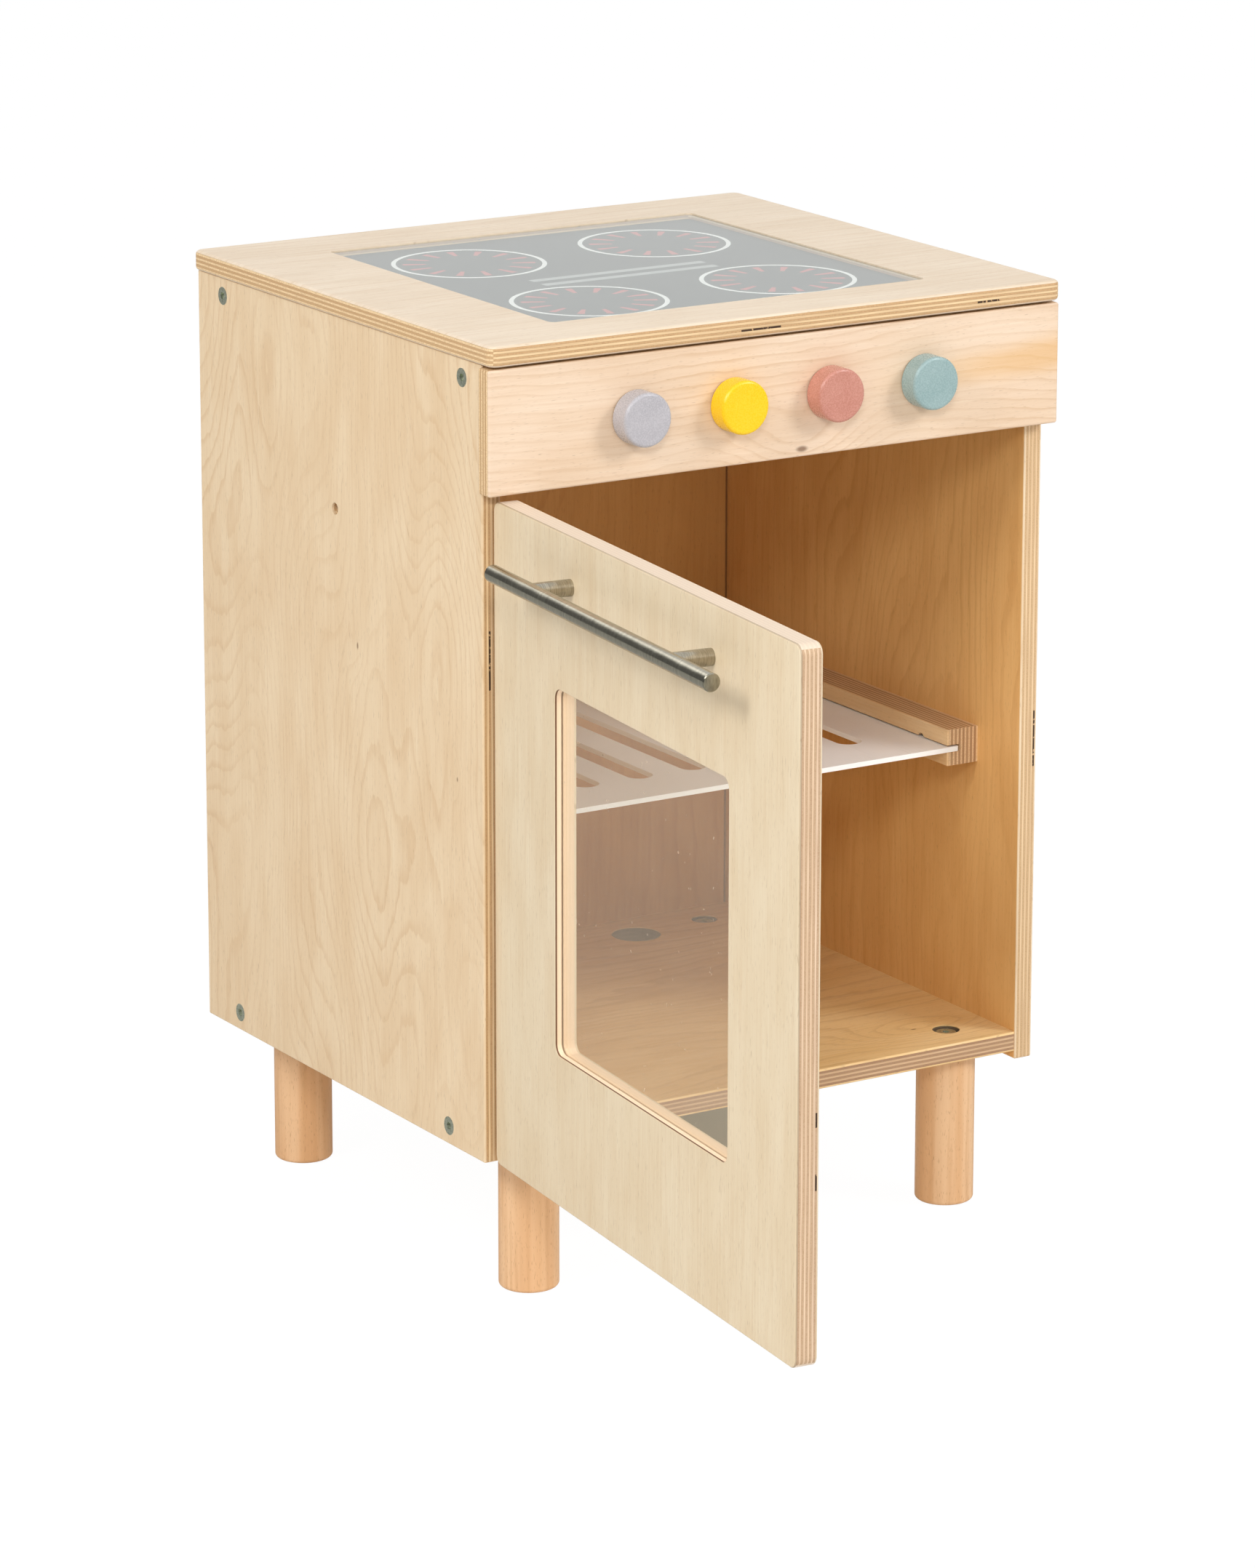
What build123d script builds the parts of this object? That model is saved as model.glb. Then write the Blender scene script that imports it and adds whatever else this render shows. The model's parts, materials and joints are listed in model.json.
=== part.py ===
from build123d import *
import math
import os

# A child's toy oven: a plywood cabinet on four round legs, with a hob set into its
# worktop, a row of turning knobs, a door with a window, and a rack that slides.
# Millimetres. Z is up, X runs to the oven's right and Y to its back.

os.makedirs("parts", exist_ok=True)

# ---------------------------------------------------------------- boards
board = 12.0
arris = 1.0
cabinet_width = 377.0
side_depth = 331.0
side_height = 460.0
side_bottom = 88.0
floor_rise = 5.0

# ---------------------------------------------------------------- worktop and hob
overhang_side = 2.5
overhang_front = 2.5
overhang_rear = 2.0
worktop_corner = 6.0
worktop_arris = 2.5
hob_width = 252.0
hob_depth = 255.0
hob_setback = 29.5
hob_corner = 4.0
hob_play = 0.3
hob_below_worktop = 0.7
glass_thickness = 3.0
print_thickness = 0.2

# ---------------------------------------------------------------- fascia and knobs
fascia_height = 71.0
fascia_gap = 1.5
fascia_arris = 1.5
knob_count = 4
knob_pitch = 64.3
knob_radius = 15.5
knob_length = 13.0
knob_round = 2.0
knob_bore_depth = 9.0
washer_thickness = 0.5
washer_radius = 9.0
knob_bolt_radius = 2.0
knob_bolt_head_radius = 4.0
knob_bolt_head = 2.6
end_play = 0.1
running_play = 0.05

# ---------------------------------------------------------------- battens and rack
batten = 22.0
front_rail_setback = 10.4
rear_rail_gap = 7.7
runner_setback = 42.7
runner_rear_gap = 3.0
runner_height_in_cavity = 156.7
groove_height = 4.2
groove_depth = 9.3
groove_rise = 8.3
rack_thickness = 3.0
rack_lift = 0.3
rack_side_play = 3.0
rack_offset = 1.5
rack_stand_out = 1.2
rack_rear_gap = 5.5
rack_corner = 1.5
slot_count = 7
slot_width = 16.0
slot_offset = 1.5
slot_pitch = 36.5
slot_margin = 36.0

# ---------------------------------------------------------------- legs
leg_radius = 17.5
leg_foot_round = 2.5
leg_inset_side = 32.0
leg_inset_ends = 25.5
leg_counterbore_radius = 8.25
leg_counterbore_depth = 5.0
leg_bolt_radius = 3.0
leg_bolt_head_radius = 6.5
leg_bolt_head = 3.6
insert_radius = 5.0
insert_length = 20.0
bolt_end_room = 3.0
hand_hole_radius = 15.5
hand_hole_offset = 90.5
hand_hole_inset = 31.0

# ---------------------------------------------------------------- fasteners
bolt_play = 0.2
connector_radius = 2.4
connector_head_radius = 5.4
connector_end_room = 1.75
floor_connector_inset = 40.2
wood_screw_radius = 2.0
wood_screw_head_radius = 4.0
worktop_screw_offset = 110.0
worktop_screw_reach = 8.0
runner_screw_inset = 27.3
runner_screw_reach = 8.0
runner_pocket_radius = 3.3
dowel_radius = 3.0
dowel_reach_short = 8.0
dowel_reach_long = 16.0
fascia_dowel_inset = 15.0
back_dowel_spacing = 170.0
side_hole_radius = 3.5
side_hole_setback = 166.6
side_hole_drop = 113.2

# ---------------------------------------------------------------- door
door_reveal = 6.0
door_top_gap = 4.0
door_front_layer = 4.0
door_back_layer = 9.0
door_corner = 6.0
door_arris = 1.2
door_closed_gap = 1.0
door_open_angle = 95.7
window_width = 208.4
window_height = 208.0
window_rise = 87.2
window_corner = 6.0
window_arris = 0.8
pane_thickness = 1.2
pane_border = 7.0
pane_play = 0.3

# ---------------------------------------------------------------- handle
bar_radius = 5.0
bar_length = 264.0
bar_drop = 28.0
bar_stand_off = 24.0
bar_chamfer = 0.5
post_radius = 4.75
post_spacing = 168.0
handle_screw_radius = 2.0
handle_screw_head_radius = 4.2
handle_screw_head = 2.4
handle_screw_reach = 9.0

# ---------------------------------------------------------------- door hinges
pivot_from_edge = 5.5
pivot_from_back = 7.1
hinge_from_end = 60.0
pin_radius = 1.5
eye_radius = 2.6
eye_height = 14.0
eye_gap = 0.3
ear_height = 5.7
notch_play = 0.6
cabinet_leaf_thickness = 2.6
cabinet_leaf_start = 3.0
cabinet_leaf_end = 36.0
cabinet_leaf_height = 30.0
door_leaf_thickness = 2.0
door_leaf_length = 30.0
leaf_play = 0.2
leaf_screw_radius = 1.5
leaf_screw_head_radius = 3.0
leaf_screw_spacing = 14.0
leaf_screw_reach = 6.0
sweep_clearance = 0.5

# ---------------------------------------------------------------- derived places
half_width = cabinet_width / 2
inner_x = half_width - board
side_top = side_bottom + side_height
floor_bottom = side_bottom + floor_rise
floor_top = floor_bottom + board
back_face = side_depth - board
worktop_top = side_top + board
worktop_front = board + overhang_front
hob_recess = hob_below_worktop + glass_thickness + print_thickness
hob_center_y = hob_setback + hob_depth / 2
fascia_top = side_top - fascia_gap
fascia_bottom = fascia_top - fascia_height
knob_height = (fascia_top + fascia_bottom) / 2
rail_height = side_top - batten / 2
front_rail_y = front_rail_setback + batten / 2
rear_rail_y = back_face - rear_rail_gap - batten / 2
runner_bottom = floor_top + runner_height_in_cavity
runner_face_x = inner_x - batten
runner_length = back_face - runner_rear_gap - runner_setback
groove_bottom = runner_bottom + groove_rise
rack_front = runner_setback - rack_stand_out
rack_depth = back_face - rack_rear_gap - rack_front
rack_width = 2 * (runner_face_x + groove_depth - rack_side_play)
leg_x = inner_x - leg_inset_side
leg_ys = (leg_inset_ends, back_face - leg_inset_ends)
counterbore_floor = floor_top - leg_counterbore_depth
connector_length = board + leg_inset_side - leg_counterbore_radius - connector_end_room
door_width = cabinet_width - 2 * door_reveal
door_top = fascia_bottom - door_top_gap
door_height = door_top - side_bottom
door_thickness = door_front_layer + door_back_layer
pivot_depth = door_thickness - pivot_from_back
pivot_x = pivot_from_edge - door_width / 2
pivot_y = -(door_closed_gap + pivot_from_back)
hinge_heights = (side_bottom + hinge_from_end, door_top - hinge_from_end)
window_height_mid = side_bottom + window_rise + window_height / 2
bar_height = door_top - bar_drop

# The rear arris at the hinge is rounded just enough to swing past the side panel.
swing_reach = pivot_from_back + door_closed_gap - sweep_clearance
swing_sum = pivot_from_edge + pivot_from_back - swing_reach
swing_rest = pivot_from_edge**2 + pivot_from_back**2 - swing_reach**2
hinge_edge_round = swing_sum - math.sqrt(swing_sum**2 - swing_rest)

# Directions in the open door: along it from the hinge, and out of its front face.
swing = math.radians(door_open_angle)
door_along = Vector(math.cos(swing), -math.sin(swing), 0)
door_out = Vector(-math.sin(swing), -math.cos(swing), 0)

# The origin is on the ground under the middle of the box around the open oven.
bar_tip_out = bar_stand_off + bar_radius + pivot_depth
bar_tip_along = (door_width + bar_length) / 2 - pivot_from_edge
left_reach = pivot_x + bar_tip_along * math.cos(swing) - bar_tip_out * math.sin(swing)
door_tip_along = door_width - pivot_from_edge
front_reach = pivot_y - door_tip_along * math.sin(swing) + pivot_from_back * math.cos(swing)
mid_x = -(left_reach + half_width + overhang_side) / 2
front_y = -(front_reach + side_depth + overhang_rear) / 2
pivot = Vector(mid_x + pivot_x, front_y + pivot_y, 0)


def level(height):
    """Horizontal plane centred on the cabinet, with y from the side panels' front edges."""
    return Plane(origin=(mid_x, front_y, height), x_dir=(1, 0, 0), z_dir=(0, 0, 1))


def upright(depth):
    """Plane across the cabinet that faces forwards, depth behind the side panels' front."""
    return Plane(origin=(mid_x, front_y + depth, 0), x_dir=(1, 0, 0), z_dir=(0, -1, 0))


def sideways(distance, side, height=0.0):
    """Plane on the left (-1) or right (1) of the middle that faces out; its x is side * y."""
    return Plane(
        origin=(mid_x + side * distance, front_y, height), x_dir=(0, side, 0), z_dir=(side, 0, 0)
    )


def inwards(distance, side):
    """The same plane, facing the cabinet's middle; its x is -side * y."""
    return Plane(
        origin=(mid_x + side * distance, front_y, 0), x_dir=(0, -side, 0), z_dir=(-side, 0, 0)
    )


def leaf(depth):
    """Upright plane in the open door, depth behind its front face and facing out of it."""
    corner = pivot + door_out * (pivot_depth - depth) - door_along * pivot_from_edge
    return Plane(origin=corner, x_dir=door_along, z_dir=door_out)


def leaf_back(depth):
    """The same plane, facing the door's back; its x is minus the distance from the hinge."""
    front = leaf(depth)
    return Plane(origin=front.origin, x_dir=-door_along, z_dir=-door_out)


def leaf_level(height):
    """Horizontal plane on the pivot, with x along the open door and y towards its back."""
    return Plane(origin=pivot + Vector(0, 0, height), x_dir=door_along, z_dir=(0, 0, 1))


cabinet_middle = Plane(origin=(mid_x, 0, 0), z_dir=(1, 0, 0))


def countersunk_screw(shank, head, length, drive):
    """Screw with its head's flat face at the origin and its point down."""
    with BuildPart() as screw:
        with BuildSketch(Plane.XZ):
            with BuildLine():
                Polyline(
                    (0, 0), (head, 0), (shank, shank - head), (shank, -length), (0, -length), close=True
                )
            make_face()
        revolve(axis=Axis.Z)
        with BuildSketch():
            RegularPolygon(drive, 6)
        extrude(amount=-drive, mode=Mode.SUBTRACT)
    return screw.part


def headed_bolt(shank, length, head, head_height, drive):
    """Bolt whose head stands on the plane through the origin and whose shank goes down."""
    with BuildPart() as bolt:
        with BuildSketch(Plane.XY):
            Circle(shank)
        extrude(amount=-length)
        with BuildSketch(Plane.XY):
            Circle(head)
        extrude(amount=head_height)
        rim = bolt.edges().filter_by(GeomType.CIRCLE).group_by(Axis.Z)[-1]
        fillet(rim, head_height / 4)
        with BuildSketch(Plane.XY.offset(head_height)):
            RegularPolygon(drive, 6)
        extrude(amount=-head_height / 2, mode=Mode.SUBTRACT)
    return bolt.part


# ================================================================ side panels
rail_connectors = [(front_rail_y, rail_height), (rear_rail_y, rail_height)]
floor_height_mid = (floor_bottom + floor_top) / 2
floor_connectors = [
    (floor_connector_inset, floor_height_mid),
    (side_depth - floor_connector_inset, floor_height_mid),
]
connectors = rail_connectors + floor_connectors
runner_height_mid = runner_bottom + batten / 2
runner_screw_ys = (
    runner_setback + runner_screw_inset,
    runner_setback + runner_length - runner_screw_inset,
)
fascia_dowel_heights = (fascia_bottom + fascia_dowel_inset, fascia_top - 2 * fascia_dowel_inset)
back_height_mid = (floor_bottom + side_top) / 2
back_dowel_heights = [
    back_height_mid - back_dowel_spacing,
    back_height_mid,
    back_height_mid + back_dowel_spacing,
]
back_dowel_y = back_face + board / 2
panel_mid_x = half_width - board / 2

with BuildPart() as left_side_panel:
    with BuildSketch(sideways(half_width, -1)):
        with Locations((-side_depth / 2, side_bottom + side_height / 2)):
            Rectangle(side_depth, side_height)
    extrude(amount=-board)
    fillet(left_side_panel.edges(), arris)
    with Locations(sideways(half_width, -1)):
        with Locations([(-y, z) for y, z in connectors]):
            CounterSinkHole(
                connector_radius + bolt_play, connector_head_radius, counter_sink_angle=90
            )
        with Locations((-side_hole_setback, side_top - side_hole_drop)):
            Hole(side_hole_radius)
    with Locations(inwards(inner_x, -1)):
        with Locations([(y, runner_height_mid) for y in runner_screw_ys]):
            Hole(wood_screw_radius, depth=runner_screw_reach)
        with Locations([(back_dowel_y, z) for z in back_dowel_heights]):
            Hole(dowel_radius, depth=dowel_reach_short)
    with Locations(upright(0)):
        with Locations([(-panel_mid_x, z) for z in fascia_dowel_heights]):
            Hole(dowel_radius, depth=dowel_reach_long)

with BuildPart() as right_side_panel:
    with BuildSketch(sideways(half_width, 1)):
        with Locations((side_depth / 2, side_bottom + side_height / 2)):
            Rectangle(side_depth, side_height)
    extrude(amount=-board)
    fillet(right_side_panel.edges(), arris)
    with Locations(sideways(half_width, 1)):
        with Locations(connectors):
            CounterSinkHole(
                connector_radius + bolt_play, connector_head_radius, counter_sink_angle=90
            )
    with Locations(inwards(inner_x, 1)):
        with Locations([(-y, runner_height_mid) for y in runner_screw_ys]):
            Hole(wood_screw_radius, depth=runner_screw_reach)
        with Locations([(-back_dowel_y, z) for z in back_dowel_heights]):
            Hole(dowel_radius, depth=dowel_reach_short)
    with Locations(upright(0)):
        with Locations([(panel_mid_x, z) for z in fascia_dowel_heights]):
            Hole(dowel_radius, depth=dowel_reach_long)

# ================================================================ floor and back
leg_places = [(side * leg_x, y) for side in (-1, 1) for y in leg_ys]

with BuildPart() as floor_panel:
    with BuildSketch(level(floor_bottom)):
        with Locations((0, back_face / 2)):
            Rectangle(2 * inner_x, back_face)
    extrude(amount=board)
    fillet(floor_panel.edges().group_by(Axis.Y)[0], arris)
    with Locations(level(floor_top)):
        with Locations(leg_places):
            CounterBoreHole(
                leg_bolt_radius + bolt_play, leg_counterbore_radius, leg_counterbore_depth
            )
        with Locations((hand_hole_offset, back_face - hand_hole_inset)):
            Hole(hand_hole_radius)
    for side in (-1, 1):
        with Locations(sideways(inner_x, side)):
            with Locations([(side * y, z) for y, z in floor_connectors]):
                Hole(connector_radius, depth=connector_length - board)

with BuildPart() as back_panel:
    with BuildSketch(upright(side_depth)):
        with Locations((0, back_height_mid)):
            Rectangle(2 * inner_x, side_top - floor_bottom)
    extrude(amount=board)
    fillet(back_panel.edges().group_by(Axis.Y)[-1], arris)
    for side in (-1, 1):
        with Locations(sideways(inner_x, side)):
            with Locations([(side * back_dowel_y, z) for z in back_dowel_heights]):
                Hole(dowel_radius, depth=dowel_reach_long)

# ================================================================ top rails
screw_offsets = (-worktop_screw_offset, worktop_screw_offset)


def top_rail(mid_y):
    """Square rail between the side panels, under the worktop."""
    with BuildPart() as rail:
        with BuildSketch(level(side_top)):
            with Locations((0, mid_y)):
                Rectangle(2 * inner_x, batten)
        extrude(amount=-batten)
        fillet(rail.edges().filter_by(Axis.X), arris)
        for side in (-1, 1):
            with Locations(sideways(inner_x, side)):
                with Locations((side * mid_y, rail_height)):
                    Hole(connector_radius, depth=connector_length - board)
        under = level(side_top - batten)
        with Locations(Plane(origin=under.origin, x_dir=(1, 0, 0), z_dir=(0, 0, -1))):
            with Locations([(x, -mid_y) for x in screw_offsets]):
                CounterSinkHole(
                    wood_screw_radius + bolt_play, wood_screw_head_radius, counter_sink_angle=90
                )
    return rail.part


with BuildPart() as front_top_rail:
    add(top_rail(front_rail_y))

with BuildPart() as rear_top_rail:
    add(top_rail(rear_rail_y))

# ================================================================ worktop and hob
worktop_depth = worktop_front + side_depth + overhang_rear
worktop_mid_y = (side_depth + overhang_rear - worktop_front) / 2

with BuildPart() as worktop:
    with BuildSketch(level(side_top)):
        with Locations((0, worktop_mid_y)):
            RectangleRounded(2 * (half_width + overhang_side), worktop_depth, worktop_corner)
    extrude(amount=board)
    fillet(worktop.faces().filter_by(Axis.Z).edges(), worktop_arris)
    with BuildSketch(level(worktop_top)):
        with Locations((0, hob_center_y)):
            RectangleRounded(hob_width, hob_depth, hob_corner)
    extrude(amount=-hob_recess, mode=Mode.SUBTRACT)
    under = level(side_top)
    with Locations(Plane(origin=under.origin, x_dir=(1, 0, 0), z_dir=(0, 0, -1))):
        with Locations([(x, -y) for x in screw_offsets for y in (front_rail_y, rear_rail_y)]):
            Hole(wood_screw_radius, depth=worktop_screw_reach)

with BuildPart() as hob_print:
    with BuildSketch(level(worktop_top - hob_recess)):
        with Locations((0, hob_center_y)):
            RectangleRounded(hob_width - 2 * hob_play, hob_depth - 2 * hob_play, hob_corner)
    extrude(amount=print_thickness)

with BuildPart() as hob_glass:
    with BuildSketch(level(worktop_top - hob_below_worktop)):
        with Locations((0, hob_center_y)):
            RectangleRounded(hob_width - 2 * hob_play, hob_depth - 2 * hob_play, hob_corner)
    extrude(amount=-glass_thickness)
    fillet(hob_glass.edges().group_by(Axis.Z)[-1], hob_play)

# ================================================================ fascia and knobs
knob_offsets = [(n - (knob_count - 1) / 2) * knob_pitch for n in range(knob_count)]
washer_back = board + end_play
knob_back = washer_back + washer_thickness

with BuildPart() as fascia:
    with BuildSketch(upright(0)):
        with Locations((0, knob_height)):
            Rectangle(2 * (half_width + overhang_side), fascia_height)
    extrude(amount=board)
    fillet(fascia.edges(), fascia_arris)
    with Locations(upright(-board)):
        with Locations([(x, knob_height) for x in knob_offsets]):
            Hole(knob_bolt_radius + running_play)
    with Locations(upright(0)):
        with Locations([(x, z) for x in (-panel_mid_x, panel_mid_x) for z in fascia_dowel_heights]):
            Cylinder(
                dowel_radius,
                dowel_reach_short,
                align=(Align.CENTER, Align.CENTER, Align.MIN),
                mode=Mode.SUBTRACT,
            )

knob_bolt_shape = headed_bolt(
    knob_bolt_radius,
    end_play + knob_back + knob_bore_depth,
    knob_bolt_head_radius,
    knob_bolt_head,
    knob_bolt_radius * 0.75,
)


def rear_of_fascia(x):
    """Plane behind the fascia, centred on a knob and facing the back of the cabinet."""
    return Plane(
        origin=(mid_x + x, front_y + end_play, knob_height), x_dir=(-1, 0, 0), z_dir=(0, 1, 0)
    )


for n, x in enumerate(knob_offsets, start=1):
    with BuildPart() as knob:
        with BuildSketch(upright(-knob_back)):
            with Locations((x, knob_height)):
                Circle(knob_radius)
        extrude(amount=knob_length)
        fillet(knob.edges().group_by(Axis.Y)[0], knob_round)
        fillet(knob.edges().group_by(Axis.Y)[-1], arris / 2)
        with BuildSketch(upright(-knob_back)):
            with Locations((x, knob_height)):
                Circle(knob_bolt_radius)
        extrude(amount=knob_bore_depth, mode=Mode.SUBTRACT)
    knob.part.label = f"knob_{n}"
    export_step(knob.part, f"parts/knob_{n}.step")

    with BuildPart() as knob_washer:
        with BuildSketch(upright(-washer_back)):
            with Locations((x, knob_height)):
                Circle(washer_radius)
                Circle(knob_bolt_radius + running_play, mode=Mode.SUBTRACT)
        extrude(amount=washer_thickness)
    knob_washer.part.label = f"knob_{n}_washer"
    export_step(knob_washer.part, f"parts/knob_{n}_washer.step")

    with BuildPart() as knob_bolt:
        with Locations(rear_of_fascia(x)):
            add(knob_bolt_shape)
    knob_bolt.part.label = f"knob_{n}_bolt"
    export_step(knob_bolt.part, f"parts/knob_{n}_bolt.step")

# ================================================================ runners and rack


def runner(side):
    """Grooved batten on the inner face of one side panel."""
    with BuildPart() as strip:
        with BuildSketch(level(runner_bottom)):
            with Locations((side * (inner_x - batten / 2), runner_setback + runner_length / 2)):
                Rectangle(batten, runner_length)
        extrude(amount=batten)
        fillet(strip.edges().filter_by(Axis.Y), arris / 2)
        with BuildSketch(level(groove_bottom)):
            with Locations((side * (runner_face_x + groove_depth / 2), side_depth / 2)):
                Rectangle(groove_depth, side_depth)
        extrude(amount=groove_height, mode=Mode.SUBTRACT)
        with Locations(inwards(runner_face_x, side)):
            with Locations([(-side * y, runner_height_mid) for y in runner_screw_ys]):
                CounterBoreHole(
                    wood_screw_radius + bolt_play,
                    runner_pocket_radius,
                    groove_depth,
                )
        with Locations(inwards(runner_face_x + groove_depth, side)):
            with Locations([(-side * y, runner_height_mid) for y in runner_screw_ys]):
                CounterSinkHole(
                    wood_screw_radius + bolt_play, runner_pocket_radius, counter_sink_angle=90
                )
    return strip.part


with BuildPart() as left_runner:
    add(runner(-1))

with BuildPart() as right_runner:
    add(runner(1))

rack_mid_y = rack_front + rack_depth / 2
slot_length = rack_depth - 2 * slot_margin

with BuildPart() as rack:
    with BuildSketch(level(groove_bottom + rack_lift)):
        with Locations((rack_offset, rack_mid_y)):
            RectangleRounded(rack_width, rack_depth, rack_corner)
            with Locations((slot_offset, 0)):
                with GridLocations(slot_pitch, 1, slot_count, 1):
                    SlotOverall(slot_length, slot_width, rotation=90, mode=Mode.SUBTRACT)
    extrude(amount=rack_thickness)
    fillet(rack.faces().filter_by(Axis.Z).edges(), rack_lift)

# ================================================================ legs
leg_names = ("leg_front_left", "leg_rear_left", "leg_front_right", "leg_rear_right")

for name, place in zip(leg_names, leg_places):
    with BuildPart() as leg:
        with BuildSketch(level(0)):
            with Locations(place):
                Circle(leg_radius)
        extrude(amount=floor_bottom)
        fillet(leg.edges().group_by(Axis.Z)[0], leg_foot_round)
        with Locations(level(floor_bottom)):
            with Locations(place):
                Hole(insert_radius, depth=insert_length)
                Hole(leg_bolt_radius + bolt_play, depth=insert_length + 2 * bolt_end_room)
    leg.part.label = name
    export_step(leg.part, f"parts/{name}.step")

with BuildPart() as leg_inserts:
    with BuildSketch(level(floor_bottom)):
        with Locations(leg_places):
            Circle(insert_radius)
            Circle(leg_bolt_radius, mode=Mode.SUBTRACT)
    extrude(amount=-insert_length)

leg_bolt_length = counterbore_floor - floor_bottom + insert_length + bolt_end_room
leg_bolt_shape = headed_bolt(
    leg_bolt_radius, leg_bolt_length, leg_bolt_head_radius, leg_bolt_head, leg_bolt_radius * 0.75
)

with BuildPart() as leg_bolts:
    with Locations(level(counterbore_floor)):
        with Locations(leg_places):
            add(leg_bolt_shape)

# ================================================================ cabinet fasteners
connector_shape = countersunk_screw(
    connector_radius, connector_head_radius, connector_length, connector_radius
)
worktop_screw_shape = countersunk_screw(
    wood_screw_radius, wood_screw_head_radius, batten + worktop_screw_reach, wood_screw_radius * 0.75
)
runner_screw_shape = countersunk_screw(
    wood_screw_radius,
    runner_pocket_radius,
    batten - groove_depth + runner_screw_reach,
    wood_screw_radius * 0.75,
)

with BuildPart() as connector_screws:
    for side in (-1, 1):
        with Locations(sideways(half_width, side)):
            with Locations([(side * y, z) for y, z in connectors]):
                add(connector_shape)

with BuildPart() as worktop_screws:
    under = level(side_top - batten)
    with Locations(Plane(origin=under.origin, x_dir=(1, 0, 0), z_dir=(0, 0, -1))):
        with Locations([(x, -y) for x in screw_offsets for y in (front_rail_y, rear_rail_y)]):
            add(worktop_screw_shape)

with BuildPart() as runner_screws:
    for side in (-1, 1):
        with Locations(inwards(runner_face_x + groove_depth, side)):
            with Locations([(-side * y, runner_height_mid) for y in runner_screw_ys]):
                add(runner_screw_shape)

with BuildPart() as fascia_dowels:
    with BuildSketch(upright(dowel_reach_long)):
        with Locations([(x, z) for x in (-panel_mid_x, panel_mid_x) for z in fascia_dowel_heights]):
            Circle(dowel_radius)
    extrude(amount=dowel_reach_long + dowel_reach_short)

with BuildPart() as back_panel_dowels:
    for side in (-1, 1):
        with BuildSketch(sideways(inner_x - dowel_reach_long, side)):
            with Locations([(side * back_dowel_y, z) for z in back_dowel_heights]):
                Circle(dowel_radius)
        extrude(amount=dowel_reach_long + dowel_reach_short)

# ================================================================ door
door_mid = (door_width / 2, side_bottom + door_height / 2)
window_mid = (door_width / 2, window_height_mid)
post_places = [
    (door_width / 2 - post_spacing / 2, bar_height),
    (door_width / 2 + post_spacing / 2, bar_height),
]
notch_depth = pivot_depth - eye_radius - notch_play
notch_width = pivot_from_edge + eye_radius + notch_play + leaf_play
notch_height = eye_height + 2 * (eye_gap + ear_height + notch_play)
leaf_screw_along = notch_width + door_leaf_length * 2 / 3
leaf_screws = [
    (leaf_screw_along, height + dz)
    for height in hinge_heights
    for dz in (-leaf_screw_spacing / 2, leaf_screw_spacing / 2)
]

with BuildPart() as hinge_notches:
    with BuildSketch(leaf(notch_depth)):
        for height in hinge_heights:
            with Locations((0, height)):
                Rectangle(2 * notch_width, notch_height)
    extrude(amount=-door_thickness)

with BuildPart() as door_front:
    with BuildSketch(leaf(0)):
        with Locations(door_mid):
            RectangleRounded(door_width, door_height, door_corner)
    extrude(amount=-door_front_layer)
    outer = door_front.faces().sort_by(Axis((0, 0, 0), door_out))[-1].edges()
    fillet(outer, door_arris)
    with BuildSketch(leaf(0)):
        with Locations(window_mid):
            RectangleRounded(window_width, window_height, window_corner)
    extrude(amount=-door_front_layer, mode=Mode.SUBTRACT)
    window_edge = door_front.faces().sort_by(Axis((0, 0, 0), door_out))[-1].inner_wires()[0]
    fillet(window_edge.edges(), window_arris)
    with Locations(leaf_back(door_front_layer)):
        with Locations([(-x, z) for x, z in post_places]):
            Hole(handle_screw_radius + bolt_play)
    add(hinge_notches.part, mode=Mode.SUBTRACT)

with BuildPart() as door_back:
    with BuildSketch(leaf(door_front_layer)):
        with Locations(door_mid):
            RectangleRounded(door_width, door_height, door_corner)
    extrude(amount=-door_back_layer)
    inner = door_back.faces().sort_by(Axis((0, 0, 0), door_out))[0].edges()
    fillet(inner, door_arris)
    with BuildSketch(leaf(door_front_layer)):
        with Locations(window_mid):
            RectangleRounded(window_width, window_height, window_corner)
    extrude(amount=-door_back_layer, mode=Mode.SUBTRACT)
    with BuildSketch(leaf(door_front_layer)):
        with Locations(window_mid):
            RectangleRounded(
                window_width + 2 * pane_border, window_height + 2 * pane_border, window_corner
            )
    extrude(amount=-pane_thickness, mode=Mode.SUBTRACT)
    with BuildSketch(leaf_level(side_bottom)):
        with Locations((-pivot_from_edge, pivot_from_back)):
            Rectangle(2 * hinge_edge_round, 2 * hinge_edge_round)
        with Locations((hinge_edge_round - pivot_from_edge, pivot_from_back - hinge_edge_round)):
            Circle(hinge_edge_round, mode=Mode.SUBTRACT)
    extrude(amount=door_height, mode=Mode.SUBTRACT)
    with Locations(leaf_back(door_thickness)):
        with Locations([(-x, z) for x, z in post_places]):
            Hole(handle_screw_radius + bolt_play)
        with Locations([(-x, z) for x, z in leaf_screws]):
            Hole(leaf_screw_radius, depth=door_leaf_thickness + leaf_screw_reach)
    with BuildSketch(leaf(door_thickness - door_leaf_thickness)):
        for height in hinge_heights:
            with Locations((notch_width + (door_leaf_length + leaf_play) / 2, height)):
                Rectangle(door_leaf_length + leaf_play, notch_height)
    extrude(amount=-door_leaf_thickness, mode=Mode.SUBTRACT)
    add(hinge_notches.part, mode=Mode.SUBTRACT)

with BuildPart() as door_pane:
    with BuildSketch(leaf(door_front_layer)):
        with Locations(window_mid):
            RectangleRounded(
                window_width + 2 * (pane_border - pane_play),
                window_height + 2 * (pane_border - pane_play),
                window_corner,
            )
    extrude(amount=-pane_thickness)

# ================================================================ handle
bar_plane = leaf(-bar_stand_off)
bar_start = (
    bar_plane.origin + door_along * ((door_width - bar_length) / 2) + Vector(0, 0, bar_height)
)

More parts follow.
